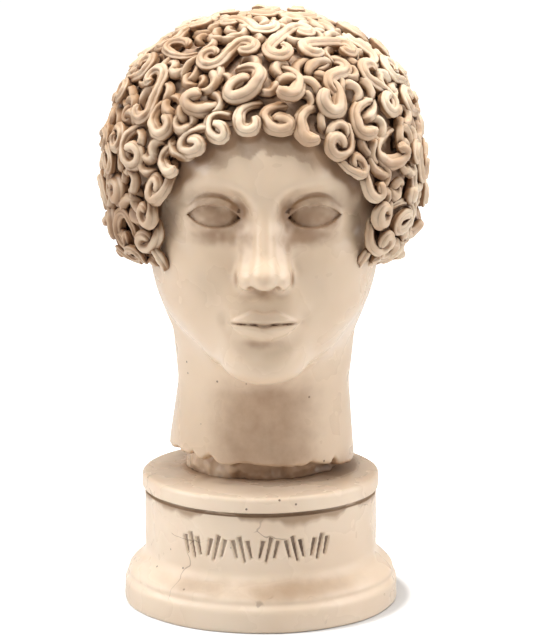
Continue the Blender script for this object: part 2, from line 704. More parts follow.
def place_curls():
    rows = [hairline_row(FRINGE_CURLS, ROW_SHARES[0]), hairline_row(SECOND_ROW_CURLS, ROW_SHARES[1])]
    sizes = [FRINGE_SIZE] * FRINGE_CURLS + [FRONT["size"]] * SECOND_ROW_CURLS
    directions = list(np.concatenate(rows))
    free = lattice(DOME_SPOTS)
    free = free[room_on_hair(on_dome(free)) > LEAST_ROOM]
    spots = on_dome(free)
    rear = free[:, 1] < -0.1
    spacing = np.where(rear, REAR["spacing"], FRONT["spacing"])
    spare = np.full(len(free), np.inf)
    for spot in on_dome(np.array(directions)):
        spare = np.minimum(spare, np.linalg.norm(spots - spot, axis=-1) - spacing)
    while (spare >= 0).any():
        chosen = np.argmin(np.where(spare >= 0, spare, np.inf))
        directions.append(free[chosen])
        sizes.append(REAR["size"] if rear[chosen] else FRONT["size"])
        spare = np.minimum(spare, np.linalg.norm(spots - spots[chosen], axis=-1) - spacing)
    return np.array(directions), np.array(sizes)


curl_directions, curl_sizes = place_curls()
curl_numbers = np.arange(len(curl_sizes))
curl_lifts = curl_sizes * (0.34 + 0.18 * scatter(curl_numbers, 9))
curl_tilts = np.tan(-0.25 + 0.55 * scatter(curl_numbers, 6))
print(len(curl_sizes), "curls")

# %% [markdown]
# ## The hair: the path of each lock
# Seen from outside, a lock is a flat curve: a snail, a hook, or two snails joined in an S or a C. Each
# curve is drawn on a sheet that touches the dome at the curl's middle, and then wrapped onto the dome
# with a height above it. A lock keeps a list of points with a thickness and an outward direction,
# which is all that the sweep needs.

# %% Sheets that touch the dome
HAIRLINE_CURLS = FRINGE_CURLS + SECOND_ROW_CURLS
STEP = 0.55  # millimetres between points along a lock


def sheet_axes(direction):
    side = unit(np.cross(direction, (0, 1, 0.1)))
    return side, np.cross(side, direction)


def onto_sheet(direction, others):
    """Places of other directions on the sheet that touches the dome at this one."""
    side, up = sheet_axes(direction)
    far = np.linalg.norm(on_dome(direction) - CAP_CENTRE)
    depth = others @ direction
    return np.stack([others @ side, others @ up], -1) / depth[..., None] * far


def wrapped(direction, flat, heights):
    """Points on the sheet laid over the dome at their heights, and their outward directions."""
    side, up = sheet_axes(direction)
    far = np.linalg.norm(on_dome(direction) - CAP_CENTRE)
    towards = unit(direction * far + flat[:, :1] * side + flat[:, 1:] * up)
    return on_dome(towards, heights), towards


def evenly(flat, extra, step=STEP):
    """A smoothed path with points at even steps, and what goes with each point."""
    for _ in range(6):
        flat[1:-1] = flat[1:-1] * 0.5 + (flat[:-2] + flat[2:]) * 0.25
    gone = np.concatenate([[0], np.cumsum(np.linalg.norm(np.diff(flat, axis=0), axis=-1))])
    at = np.linspace(0, gone[-1], max(int(gone[-1] / step), 6))
    columns = [np.interp(at, gone, column) for column in (*flat.T, *extra)]
    return np.stack(columns[:2], -1), columns[2:], at


def rounded_ends(at, thickness, blunt=1.0):
    """The thickness brought down to nothing in a half round at both ends."""
    from_end = np.minimum(at, at[-1] - at) / (thickness * blunt)
    t = np.clip(from_end, 0, 1)
    return thickness * np.sqrt(np.maximum(1 - (1 - t) ** 2, 0.03))


print("a rounded end:", rounded_ends(np.linspace(0, 4, 9), np.ones(9)).round(2))


# %% One curl alone: a snail or a hook, with a tail that dives under its neighbours
TAU = 2 * math.pi


def lone_lock(n, turns, inner, tail_angle, tail_turns, tail_reach, ring, girth):
    """Ring is the curl's radius and girth the lock's, both as shares of the curl's size."""
    size = curl_sizes[n] * (0.95 + 0.2 * scatter(n, 25))
    hand = 1 if scatter(n, 2) < 0.5 else -1
    stretch = 1 + 0.4 * scatter(n, 3)
    start = scatter(n, 1) * TAU
    tail_share = tail_turns / (turns + tail_turns)
    t = np.linspace(0, 1, 160)  # 0 at the inner end
    body = np.clip(t / (1 - tail_share), 0, 1)
    tail = np.clip((t - 1 + tail_share) / tail_share, 0, 1)
    a = tail_angle - start - hand * TAU * (turns + tail_turns) * (1 - t)
    share = ring * (inner + (1 - inner) * body**0.85) + tail_reach * tail**1.3
    drawn = size * share[:, None] * np.stack([np.cos(a) * stretch, np.sin(a) / stretch], -1)
    c, s = math.cos(start), math.sin(start)
    flat = drawn @ np.array([[c, s], [-s, c]])
    girth = girth * (0.85 + 0.3 * scatter(n, 27))
    swell = 0.8 + 0.25 * np.sin(np.minimum(body * 1.25, 1) * math.pi / 2)
    thickness = size * girth * swell * (1 - 0.4 * tail)
    cone = size * (0.34 * scatter(n, 26) - 0.06)
    top = curl_lifts[n] + 0.12 * size + cone * (1 - body) + drawn[:, 0] * curl_tilts[n]
    heights = top - thickness * 0.9 - (curl_lifts[n] + 0.12 * size - 0.6) * tail**1.5
    flat, (thickness, heights), at = evenly(flat, (thickness, heights))
    points, towards = wrapped(curl_directions[n], flat, heights)
    return points, towards, rounded_ends(at, thickness)


print("a snail of", len(lone_lock(0, 1.3, 0.3, 0.0, 0.45, 0.7, 0.58, 0.3)[0]), "points")


# %% A wave: one thick lock that winds to and fro
def wave_lock(n):
    size = curl_sizes[n]
    s = np.linspace(0, 1, 120)
    hand = 1 if scatter(n, 2) < 0.5 else -1
    a = TAU * scatter(n, 1) + hand * 1.5 * np.cos(TAU * (0.95 + 0.35 * scatter(n, 3)) * s)
    flat = np.cumsum(np.stack([np.cos(a), np.sin(a)], -1), axis=0) * size * 4.0 / len(s)
    flat -= flat[len(s) // 2]
    thickness = size * (0.29 + 0.08 * np.sin(s * math.pi))
    heights = curl_lifts[n] + 0.12 * size - thickness * 0.9 - 2.4 * np.abs(2 * s - 1) ** 3
    flat, (thickness, heights), at = evenly(flat, (thickness, heights))
    points, towards = wrapped(curl_directions[n], flat, heights)
    return points, towards, rounded_ends(at, thickness, 1.6)


print("a wave of", len(wave_lock(0)[0]), "points")


# %% Two curls joined in an S or a C
def snail(middle, radius, inner, mouth, turns, hand):
    """A spiral from its inner end out to its mouth, an angle on the sheet."""
    t = np.linspace(0, 1, 90)
    a = mouth + hand * TAU * turns * (1 - t)
    r = radius * (inner + (1 - inner) * t**0.8)
    return middle + r[:, None] * np.stack([np.cos(a), np.sin(a)], -1)


def joined_lock(n, m):
    middle = unit(curl_directions[n] + curl_directions[m])
    start, end = onto_sheet(middle, curl_directions[[n, m]])
    across = end - start
    apart = np.linalg.norm(across)
    turn = np.array([[across[0], -across[1]], [across[1], across[0]]]) / apart
    radii = curl_sizes[[n, m]] * 0.55
    s_shaped = scatter(n, 21) < 0.6
    flip = 1 if scatter(n, 22) < 0.5 else -1
    lean = math.asin(min(radii.sum() / apart, 0.92)) if s_shaped else 0
    turns = 0.6 + 0.5 * scatter([n, m], 23)
    first = snail(np.zeros(2), radii[0], 0.4, math.pi / 2 - lean, turns[0], 1)
    if s_shaped:
        second = snail(np.array([apart, 0]), radii[1], 0.4, -math.pi / 2 - lean, turns[1], 1)
    else:
        second = snail(np.array([apart, 0]), radii[1], 0.4, math.pi / 2, turns[1], -1)
    flat = np.concatenate([first, second[::-1]]) * (1, flip)
    half = len(first)
    t = np.concatenate([np.linspace(0, 1, half), np.linspace(1, 0, half)])
    share = np.linspace(0, 1, 2 * half)
    size = curl_sizes[n] * (1 - share) + curl_sizes[m] * share
    thickness = size * (0.24 + 0.12 * np.sin(np.minimum(t * 1.3, 1) * math.pi / 2))
    lift = curl_lifts[n] * (1 - share) + curl_lifts[m] * share
    top = lift + size * (0.12 + 0.1 * (1 - t) - 0.06 * np.exp(-(((share - 0.5) / 0.06) ** 2)))
    heights = top - thickness * 0.9
    flat, (thickness, heights), at = evenly(flat, (thickness, heights))
    points, towards = wrapped(middle, start + flat @ turn.T, heights)
    return points, towards, rounded_ends(at, thickness)


# %% Which curls join, and the locks of the whole head
JOIN_REACH = 10.5  # furthest apart that two joined curls may be, millimetres


def pair_up():
    """Neighbours on the dome in pairs, and the curls that stay alone."""
    spots = on_dome(curl_directions)
    alone = set(range(HAIRLINE_CURLS, len(spots)))
    pairs = []
    for n in sorted(alone, key=lambda k: scatter(k, 31)):
        if n not in alone or scatter(n, 32) < 0.18:
            continue
        gaps = [(np.linalg.norm(spots[m] - spots[n]), m) for m in alone if m != n]
        near = [(gap * (1 + 0.4 * scatter(m + n, 33)), m) for gap, m in gaps if gap < JOIN_REACH]
        if near:
            m = min(near)[1]
            pairs.append((n, m))
            alone -= {n, m}
    return pairs, sorted(alone)


# How often each kind of lone lock comes, its turns, and how far in it starts
FRINGE_KINDS = ((0.35, 0.95, 0.6), (0.7, 0.7, 0.75), (1.0, 0.45, 0.9))
DOME_KINDS = ((0.3, 1.3, 0.3), (0.6, 0.95, 0.6), (1.0, 0.65, 0.8))
WAVES_ABOVE = 0.55  # how steeply a direction points up where waves begin


def kind_of(n, kinds):
    return next((turns, inner) for upto, turns, inner in kinds if scatter(n, 20) <= upto)


def dome_lock(n):
    if curl_directions[n][2] > WAVES_ABOVE and scatter(n, 28) < 0.6:
        return wave_lock(n)
    return lone_lock(n, *kind_of(n, DOME_KINDS), scatter(n, 24) * TAU, 0.45, 0.7, 0.58, 0.3)


def inside_box(lock):
    """The lock drawn in where it would reach out of the solid model's box."""
    points, towards, thickness = lock
    (left, front, _), (right, back, top) = np.array(cad_box) / MM
    low = np.array([left - HEAD_ASIDE, -back, 0])
    high = np.array([right - HEAD_ASIDE, -front, top - PLINTH_HEIGHT - CHIN_ABOVE_PLINTH])
    room = (thickness + 0.15)[:, None]
    return np.clip(points, low + room, high - room), towards, thickness


LOOSE_CURLS = ((-29.5, 15, 30.5), (-31, 8, 29.5), (-38, 6, 56), (-37, 12, 52))  # stick out at one side
LOOSE_SIZE = 4.2
LOOSE_LIFT = 2.9

pairs, lone = pair_up()
curl_directions = np.concatenate([curl_directions, unit(np.array(LOOSE_CURLS) - CAP_CENTRE)])
curl_sizes = np.append(curl_sizes, [LOOSE_SIZE] * len(LOOSE_CURLS))
curl_lifts = np.append(curl_lifts, [LOOSE_LIFT] * len(LOOSE_CURLS))
curl_tilts = np.append(curl_tilts, [0.0] * len(LOOSE_CURLS))
lone = [*lone, *range(len(curl_sizes) - len(LOOSE_CURLS), len(curl_sizes))]
fringe_locks = []
for n in range(HAIRLINE_CURLS):
    side, up = sheet_axes(curl_directions[n])
    upward = math.atan2(up[2], side[2]) + (scatter(n, 24) - 0.5) * 1.5
    fringe_locks.append(inside_box(lone_lock(n, *kind_of(n, FRINGE_KINDS), upward, 0.3, 1.0, 0.46, 0.38)))
dome_locks = [joined_lock(n, m) for n, m in pairs] + [dome_lock(n) for n in lone]
dome_locks = [inside_box(lock) for lock in dome_locks]
print(len(pairs), "joined locks,", len(lone) + HAIRLINE_CURLS, "lone locks")

# %% Small locks that fill the valleys, lying along their nearest neighbour
FILL_SPOTS = 5200
FILL_SPACING = 3.4
FILL_FROM_LOCK = 2.1
LEAST_RAISED = -0.5  # parts of locks deeper than this leave their place free
FILL_LENGTH = (7.0, 12.0)


def fill_locks(locks):
    points = np.concatenate([p for p, _, _ in locks])
    ahead = np.concatenate([np.gradient(p, axis=0) for p, _, _ in locks])
    lying = np.concatenate([t for _, t, _ in locks])
    below = on_dome(lying)
    raised = np.linalg.norm(points - CAP_CENTRE, axis=-1) - np.linalg.norm(below - CAP_CENTRE, axis=-1)
    tree = KDTree(len(points))
    for i in np.nonzero(raised > LEAST_RAISED)[0]:
        tree.insert(below[i], i)
    tree.balance()
    free = lattice(FILL_SPOTS)
    free = free[room_on_hair(on_dome(free)) > 0.6]
    made, taken = [], []
    for k, (direction, spot) in enumerate(zip(free, on_dome(free))):
        _, nearest, gap = tree.find(spot)
        if gap < FILL_FROM_LOCK or any(np.linalg.norm(spot - other) < FILL_SPACING for other in taken):
            continue
        taken.append(spot)
        side, up = sheet_axes(direction)
        heading = math.atan2(ahead[nearest] @ up, ahead[nearest] @ side)
        length = FILL_LENGTH[0] + (FILL_LENGTH[1] - FILL_LENGTH[0]) * scatter(k, 41)
        s = np.linspace(0, 1, 28)
        bend = (1.8 + 3.4 * scatter(k, 42)) * (1 if scatter(k, 46) < 0.5 else -1)
        a = heading + bend * s**1.4 + (math.pi if scatter(k, 47) < 0.5 else 0)
        flat = np.cumsum(np.stack([np.cos(a), np.sin(a)], -1), axis=0) * length / len(s)
        flat -= flat[len(s) // 2]
        thickness = (1.2 + 0.5 * scatter(k, 43)) * (1 - 0.3 * s**2)
        heights = 0.1 + 1.2 * scatter(k, 44) - 1.2 * np.abs(2 * s - 1) ** 3
        flat, (thickness, heights), at = evenly(flat, (thickness, heights), 0.7)
        wrapped_points, towards = wrapped(direction, flat, heights)
        made.append(inside_box((wrapped_points, towards, rounded_ends(at, thickness, 1.8))))
    return made


filling = fill_locks(fringe_locks + dome_locks)
print(len(filling), "filling locks")

# %% [markdown]
# ## The hair: sweeping the locks
# Each lock is combed: two or three strands lie side by side with grooves between them. Geometry Nodes
# sweep one fluted outline along every path at once. The paths go in as loose edges whose points carry
# a thickness and an outward direction, so one tree serves fringe, dome and filling, each with its own
# groove count. A skin modifier would give plain round tubes, and sculpting would take days.

# %% A helper that adds one node and wires it
def add_node(tree, kind, wires=None, **settings):
    made = tree.nodes.new(kind)
    made.location = (180 * (len(tree.nodes) % 12), -220 * (len(tree.nodes) // 12))
    for name, value in settings.items():
        setattr(made, name, value)
    by_name = {socket.identifier: socket for socket in made.inputs}
    for key, value in (wires or {}).items():
        socket = made.inputs[key] if isinstance(key, int) else by_name[key]
        if isinstance(value, bpy.types.NodeSocket):
            tree.links.new(value, socket)
        else:
            socket.default_value = value
    return made


def maths(tree, operation, a, b=0.0, clamp=False):
    wires = {0: a, 1: b}
    return add_node(tree, "ShaderNodeMath", wires, operation=operation, use_clamp=clamp).outputs[0]


def named(tree, name, data_type="FLOAT"):
    found = add_node(tree, "GeometryNodeInputNamedAttribute", {"Name": name}, data_type=data_type)
    return found.outputs["Attribute"]


# %% The tree that sweeps a fluted outline
SWEEP_INPUTS = {
    "Outline Points": ("NodeSocketInt", 18),
    "Strands": ("NodeSocketFloat", 3.0),
    "Groove Depth": ("NodeSocketFloat", 0.16),
    "Flatness": ("NodeSocketFloat", 0.9),
    "Unevenness": ("NodeSocketFloat", 1.0 * MM),
    "Finish": ("NodeSocketMaterial", None),
}


def new_tree(name, inputs):
    tree = bpy.data.node_groups.new(name, "GeometryNodeTree")
    tree.interface.new_socket("Geometry", in_out="INPUT", socket_type="NodeSocketGeometry")
    for title, (kind, value) in inputs.items():
        socket = tree.interface.new_socket(title, in_out="INPUT", socket_type=kind)
        if value is not None:
            socket.default_value = value
    tree.interface.new_socket("Geometry", in_out="OUTPUT", socket_type="NodeSocketGeometry")
    return tree


def fluted_outline(tree, given):
    """A circle, x outwards, whose outer half is drawn in at the grooves between the strands."""
    wires = {"Resolution": given["Outline Points"], "Radius": 1.0}
    circle = add_node(tree, "GeometryNodeCurvePrimitiveCircle", wires)
    spot = add_node(tree, "ShaderNodeSeparateXYZ", {0: add_node(tree, "GeometryNodeInputPosition").outputs[0]})
    x, y = spot.outputs[0], spot.outputs[1]
    angle = maths(tree, "ARCTAN2", y, x)  # 0 at the outermost line of the lock
    wave = maths(tree, "COSINE", maths(tree, "MULTIPLY", angle, given["Strands"]))
    groove = maths(tree, "MULTIPLY", maths(tree, "SUBTRACT", 1.0, wave), 0.5)
    groove = maths(tree, "POWER", groove, 2.4)
    on_top = maths(tree, "MULTIPLY", maths(tree, "ADD", x, 0.6), 1.4, clamp=True)
    drawn_in = maths(tree, "MULTIPLY", maths(tree, "MULTIPLY", groove, given["Groove Depth"]), on_top)
    kept = maths(tree, "SUBTRACT", 1.0, drawn_in)
    new_x = maths(tree, "MULTIPLY", maths(tree, "MULTIPLY", x, kept), given["Flatness"])
    new_y = maths(tree, "MULTIPLY", y, kept)
    spot = add_node(tree, "ShaderNodeCombineXYZ", {0: new_x, 1: new_y}).outputs[0]
    moved = add_node(tree, "GeometryNodeSetPosition", {"Geometry": circle.outputs["Curve"], "Position": spot})
    wires = {"Geometry": moved.outputs[0], "Name": "cut", "Value": maths(tree, "MULTIPLY", groove, on_top)}
    return add_node(tree, "GeometryNodeStoreNamedAttribute", wires, data_type="FLOAT").outputs[0]


def lock_sweep():
    tree = new_tree("lock_sweep", SWEEP_INPUTS)
    given = add_node(tree, "NodeGroupInput").outputs
    path = add_node(tree, "GeometryNodeMeshToCurve", {"Mesh": given["Geometry"]}).outputs[0]
    wires = {"Curve": path, "Normal": named(tree, "outward", "FLOAT_VECTOR")}
    path = add_node(tree, "GeometryNodeSetCurveNormal", wires, mode="FREE").outputs[0]
    wires = {"Curve": path, "Radius": named(tree, "thickness")}
    path = add_node(tree, "GeometryNodeSetCurveRadius", wires).outputs[0]
    wires = {"Curve": path, "Profile Curve": fluted_outline(tree, given), "Fill Caps": True}
    wires["Scale"] = named(tree, "thickness")
    swept = add_node(tree, "GeometryNodeCurveToMesh", wires).outputs[0]
    noise = add_node(tree, "ShaderNodeTexNoise", {"Scale": 420.0, "Detail": 2.0}).outputs["Fac"]
    amount = maths(tree, "MULTIPLY", maths(tree, "SUBTRACT", noise, 0.5), given["Unevenness"])
    normal = add_node(tree, "GeometryNodeInputNormal").outputs[0]
    wires = {"Vector": normal, "Scale": amount}
    offset = add_node(tree, "ShaderNodeVectorMath", wires, operation="SCALE").outputs[0]
    moved = add_node(tree, "GeometryNodeSetPosition", {"Geometry": swept, "Offset": offset}).outputs[0]
    smooth = add_node(tree, "GeometryNodeSetShadeSmooth", {"Geometry": moved}).outputs[0]
    single = add_node(tree, "GeometryNodeRealizeInstances", {"Geometry": smooth}).outputs[0]
    wires = {"Geometry": single, "Material": given["Finish"]}
    finished = add_node(tree, "GeometryNodeSetMaterial", wires).outputs[0]
    add_node(tree, "NodeGroupOutput", {0: finished})
    return tree


sweep_tree = lock_sweep()
print("sweep tree:", len(sweep_tree.nodes), "nodes")


# %% Running a tree on a piece and keeping the plain mesh
def set_input(modifier, title, value):
    for item in modifier.node_group.interface.items_tree:
        if item.item_type == "SOCKET" and item.in_out == "INPUT" and item.name == title:
            modifier[item.identifier] = value


def grown(name, base, tree, values):
    """The result of the tree on the base object, as a new object with no modifier."""
    modifier = base.modifiers.new("grow", "NODES")
    modifier.node_group = tree
    for title, value in values.items():
        set_input(modifier, title, value)
    evaluated = base.evaluated_get(bpy.context.evaluated_depsgraph_get())
    mesh = bpy.data.meshes.new_from_object(evaluated)
    mesh.name = name
    base.modifiers.remove(modifier)
    bpy.data.objects.remove(base)
    made = bpy.data.objects.new(name, mesh)
    scene.collection.objects.link(made)
    triangles = sum(len(p.vertices) - 2 for p in mesh.polygons)
    print(name, triangles, "triangles")
    return made


def path_object(name, locks):
    """All paths of a set of locks as loose edges with their thickness and outward direction."""
    points = placed(np.concatenate([p for p, _, _ in locks]))
    ends = np.cumsum([len(p) for p, _, _ in locks])
    first = np.arange(len(points) - 1)
    edges = np.stack([first, first + 1], -1)[~np.isin(first + 1, ends)]
    mesh = bpy.data.meshes.new(name)
    mesh.from_pydata(points.tolist(), edges.tolist(), [])
    thickness = np.concatenate([r for _, _, r in locks]) * MM
    mesh.attributes.new("thickness", "FLOAT", "POINT").data.foreach_set("value", thickness.astype(np.float32))
    towards = np.concatenate([t for _, t, _ in locks]) * (1, -1, 1)
    facing = mesh.attributes.new("outward", "FLOAT_VECTOR", "POINT")
    facing.data.foreach_set("vector", towards.astype(np.float32).ravel())
    made = bpy.data.objects.new(name, mesh)
    scene.collection.objects.link(made)
    return made


# %% [markdown]
# ## Finishes
# The body of the ornament is ivory resin filled with stone powder. Light goes a little way into it,
# and the surface has a waxy gloss. A brown wash was brushed over it and wiped off, so it stays in
# every groove. A mask from how closed-in each point is tells the wash where to stay. Blender's Ambient
# Occlusion node could find it while rendering, but it is noisy and slow, so it is measured once from
# the shapes, below, and kept in each piece as the attributes "crease" and "hollow".

# %% Node groups that both finishes share
def new_group(name, inputs, outputs):
    group = bpy.data.node_groups.new(name, "ShaderNodeTree")
    for title, value in inputs.items():
        kind = "NodeSocketColor" if isinstance(value, tuple) else "NodeSocketFloat"
        group.interface.new_socket(title, in_out="INPUT", socket_type=kind).default_value = value
    for title, kind in outputs.items():
        group.interface.new_socket(title, in_out="OUTPUT", socket_type=kind)
    return group, add_node(group, "NodeGroupInput").outputs


def noise_at(tree, scale, detail=3.0, roughness=0.55):
    place = add_node(tree, "ShaderNodeTexCoord").outputs["Object"]
    wires = {"Vector": place, "Scale": scale, "Detail": detail, "Roughness": roughness}
    return add_node(tree, "ShaderNodeTexNoise", wires).outputs["Fac"]


def ramp(tree, value, low, high, to_low=0.0, to_high=1.0):
    wires = {"Value": value, "From Min": low, "From Max": high, "To Min": to_low, "To Max": to_high}
    return add_node(tree, "ShaderNodeMapRange", wires, interpolation_type="SMOOTHSTEP").outputs["Result"]


def blend_colours(tree, share, a, b):
    wires = {"Factor_Float": share, "A_Color": a, "B_Color": b}
    mixed = add_node(tree, "ShaderNodeMix", wires, data_type="RGBA")
    return next(o for o in mixed.outputs if o.identifier == "Result_Color")


# %% Group: the ivory body, with clouds, specks and pinholes
def ivory_body_group():
    inputs = {"Pale": (0.9, 0.8, 0.66, 1), "Warm": (0.8, 0.66, 0.5, 1), "Cloud Scale": 28.0}
    inputs |= {"Pinhole Share": 0.3, "Pinholes Below": 1.0, "Cracks": 0.0}
    outputs = {"Colour": "NodeSocketColor", "Height": "NodeSocketFloat", "Gloss Loss": "NodeSocketFloat"}
    group, given = new_group("ivory_body", inputs, outputs)
    clouds = ramp(group, noise_at(group, given["Cloud Scale"]), 0.3, 0.75)
    colour = blend_colours(group, clouds, given["Pale"], given["Warm"])
    grain = noise_at(group, 900.0, 4.0, 0.7)
    place = add_node(group, "ShaderNodeTexCoord").outputs["Object"]
    cells = add_node(group, "ShaderNodeTexVoronoi", {"Vector": place, "Scale": 260.0}, feature="F1")
    rare = add_node(group, "ShaderNodeSeparateColor", {0: cells.outputs["Color"]}).outputs[0]
    hole = ramp(group, cells.outputs["Distance"], 0.05, 0.1, 1.0, 0.0)
    hole = maths(group, "MULTIPLY", hole, maths(group, "LESS_THAN", rare, given["Pinhole Share"]))
    height_up = add_node(group, "ShaderNodeSeparateXYZ", {0: place}).outputs[2]
    hole = maths(group, "MULTIPLY", hole, maths(group, "LESS_THAN", height_up, given["Pinholes Below"]))
    colour = blend_colours(group, maths(group, "MULTIPLY", hole, 0.85), colour, (0.1, 0.05, 0.025, 1))
    bent = add_node(group, "ShaderNodeTexNoise", {"Vector": place, "Scale": 160.0, "Detail": 2.0}).outputs["Color"]
    bent = add_node(group, "ShaderNodeVectorMath", {0: bent, "Scale": 0.006}, operation="SCALE").outputs[0]
    bent = add_node(group, "ShaderNodeVectorMath", {0: place, 1: bent}, operation="ADD").outputs[0]
    wires = {"Vector": bent, "Scale": 42.0}
    edge = add_node(group, "ShaderNodeTexVoronoi", wires, feature="DISTANCE_TO_EDGE").outputs["Distance"]
    crack = maths(group, "MULTIPLY", ramp(group, edge, 0.003, 0.008, 1.0, 0.0), given["Cracks"])
    crack = maths(group, "MULTIPLY", crack, ramp(group, noise_at(group, 70.0), 0.56, 0.62))
    colour = blend_colours(group, maths(group, "MULTIPLY", crack, 0.55), colour, (0.25, 0.15, 0.09, 1))
    height = maths(group, "SUBTRACT", maths(group, "MULTIPLY", grain, 0.12), hole)
    gloss_loss = ramp(group, noise_at(group, 60.0), 0.35, 0.7, 0.0, 1.0)
    wires = {"Colour": colour, "Height": height, "Gloss Loss": gloss_loss}
    add_node(group, "NodeGroupOutput", {list(outputs).index(k): v for k, v in wires.items()})
    return group


# %% Group: the brown wash that stays in the hollows
def brown_wash_group():
    inputs = {"Body": (0.9, 0.8, 0.66, 1), "Thin Wash": (0.55, 0.38, 0.26, 1), "Thick Wash": (0.13, 0.07, 0.04, 1)}
    inputs |= {"Crease": 0.0, "Hollow": 0.0, "Thin From": 0.25, "Thin To": 0.7, "Thick From": 0.6, "Thick To": 1.0}
    group, given = new_group("brown_wash", inputs, {"Colour": "NodeSocketColor", "Wash": "NodeSocketFloat"})
    patchy = maths(group, "MULTIPLY", maths(group, "SUBTRACT", noise_at(group, 240.0, 4.0), 0.5), 0.35)
    drifting = maths(group, "MULTIPLY", maths(group, "SUBTRACT", noise_at(group, 45.0), 0.5), 0.3)
    uneven = maths(group, "ADD", patchy, drifting)
    thin = ramp(group, maths(group, "ADD", given["Hollow"], uneven), given["Thin From"], given["Thin To"])
    thick = ramp(group, maths(group, "ADD", given["Crease"], uneven), given["Thick From"], given["Thick To"])
    colour = blend_colours(group, thin, given["Body"], given["Thin Wash"])
    colour = blend_colours(group, thick, colour, given["Thick Wash"])
    wash = maths(group, "MAXIMUM", thin, thick)
    add_node(group, "NodeGroupOutput", {0: colour, 1: wash})
    return group


ivory_body = ivory_body_group()
brown_wash = brown_wash_group()
print("groups:", ivory_body.name, brown_wash.name)


# %% The finish itself: body, wash, gloss and a fine bump
def cast_finish(name, body, wash, gloss=(0.34, 0.55), bump=0.25, glow=0.12):
    made = bpy.data.materials.new(name)
    made.use_nodes = True
    tree = made.node_tree
    shader = tree.nodes["Principled BSDF"]
    base = add_node(tree, "ShaderNodeGroup", node_tree=ivory_body)
    stain = add_node(tree, "ShaderNodeGroup", node_tree=brown_wash)
    for group_node, values in ((base, body), (stain, wash)):
        for title, value in values.items():
            group_node.inputs[title].default_value = value
    tree.links.new(base.outputs["Colour"], stain.inputs["Body"])
    for title, attribute in (("Crease", "crease"), ("Hollow", "hollow")):
        measured = add_node(tree, "ShaderNodeAttribute", attribute_name=attribute)
        tree.links.new(measured.outputs["Fac"], stain.inputs[title])
    tree.links.new(stain.outputs["Colour"], shader.inputs["Base Color"])
    dullness = maths(tree, "MAXIMUM", base.outputs["Gloss Loss"], stain.outputs["Wash"])
    tree.links.new(ramp(tree, dullness, 0.0, 1.0, *gloss), shader.inputs["Roughness"])
    wires = {"Height": base.outputs["Height"], "Distance": 0.0002, "Strength": bump}
    tree.links.new(add_node(tree, "ShaderNodeBump", wires).outputs[0], shader.inputs["Normal"])
    shader.inputs["Subsurface Weight"].default_value = glow
    shader.inputs["Subsurface Radius"].default_value = (1.0, 0.6, 0.35)
    shader.inputs["Subsurface Scale"].default_value = 0.003
    shader.inputs["Specular IOR Level"].default_value = 0.5
    return made


smooth_ivory = cast_finish(
    "smooth_ivory",
    {"Pale": (0.81, 0.645, 0.48, 1), "Warm": (0.735, 0.56, 0.395, 1), "Cloud Scale": 22.0, "Pinhole Share": 0.25, "Pinholes Below": 0.064},
    {"Thin Wash": (0.42, 0.27, 0.17, 1), "Thin From": 0.14, "Thin To": 0.8, "Thick From": 0.62, "Thick To": 1.05},
    gloss=(0.23, 0.4),
)
plinth_ivory = cast_finish(
    "plinth_ivory",
    {"Pale": (0.89, 0.74, 0.58, 1), "Warm": (0.79, 0.62, 0.46, 1), "Cloud Scale": 30.0, "Pinhole Share": 0.4, "Cracks": 1.0},
    {"Thin Wash": (0.46, 0.32, 0.21, 1), "Thin From": 0.25, "Thin To": 0.95, "Thick From": 0.55, "Thick To": 1.05},
    gloss=(0.2, 0.4),
)
curl_ivory = cast_finish(
    "curl_ivory",
    {"Pale": (0.87, 0.71, 0.53, 1), "Warm": (0.56, 0.37, 0.23, 1), "Cloud Scale": 55.0, "Pinhole Share": 0.0},
    {"Thin Wash": (0.33, 0.19, 0.1, 1), "Thin From": 0.05, "Thin To": 0.85, "Thick From": 0.4, "Thick To": 0.95},
    gloss=(0.27, 0.5),
)
deep_hair = cast_finish(
    "deep_hair",
    {"Pale": (0.3, 0.18, 0.1, 1), "Warm": (0.13, 0.07, 0.04, 1), "Cloud Scale": 150.0, "Pinhole Share": 0.0},
    {"Thin From": 0.3, "Thin To": 0.8, "Thick From": 0.45, "Thick To": 0.85},
    gloss=(0.5, 0.7),
)
print("finishes:", smooth_ivory.name, plinth_ivory.name, curl_ivory.name, deep_hair.name)

# %% Sweep the locks: fringe, front of the dome, back of the dome, filling
def is_front(lock):
    return lock[0][:, 1].mean() > -6


front_locks = [lock for lock in dome_locks if is_front(lock)]
rear_locks = [lock for lock in dome_locks if not is_front(lock)]
LOCK_SETS = {
    "fringe_curls": (fringe_locks, {"Outline Points": 24, "Strands": 3.6, "Groove Depth": 0.26}),
    "front_curls": (front_locks, {"Outline Points": 26, "Strands": 5.4, "Groove Depth": 0.34}),
    "rear_curls": (rear_locks, {"Outline Points": 22, "Strands": 5.4, "Groove Depth": 0.34}),
    "small_locks": (filling, {"Outline Points": 14, "Strands": 4.0, "Groove Depth": 0.3}),
}
hair_pieces = []
for name, (locks, values) in LOCK_SETS.items():
    values["Finish"] = curl_ivory
    hair_pieces.append(grown(name, path_object(name + "_paths", locks), sweep_tree, values))

# %% The mass of hair under the locks
MASS_VOXEL = 0.8
mass_points, mass_quads = skinned(hair_mass, even_lines((-40, -41.5, 18), (40, 38.5, 87), MASS_VOXEL))
mass_points = settled(hair_mass, mass_points, MASS_VOXEL, rounds=2)
hair_base = make_piece("hair_base", placed(mass_points), mass_quads)

# %% [markdown]
# ## The plinth
# The plinth is turned: a foot of two rolls with a shallow line between, a plain drum, a cove and a ring.
# Half its outline, spun round the axis, gives all of it. Blender's Screw modifier would do, but the
# front needs columns a quarter of a millimetre apart for the cut strokes and the back doesn't, so the
# rings are written out with columns of uneven width.

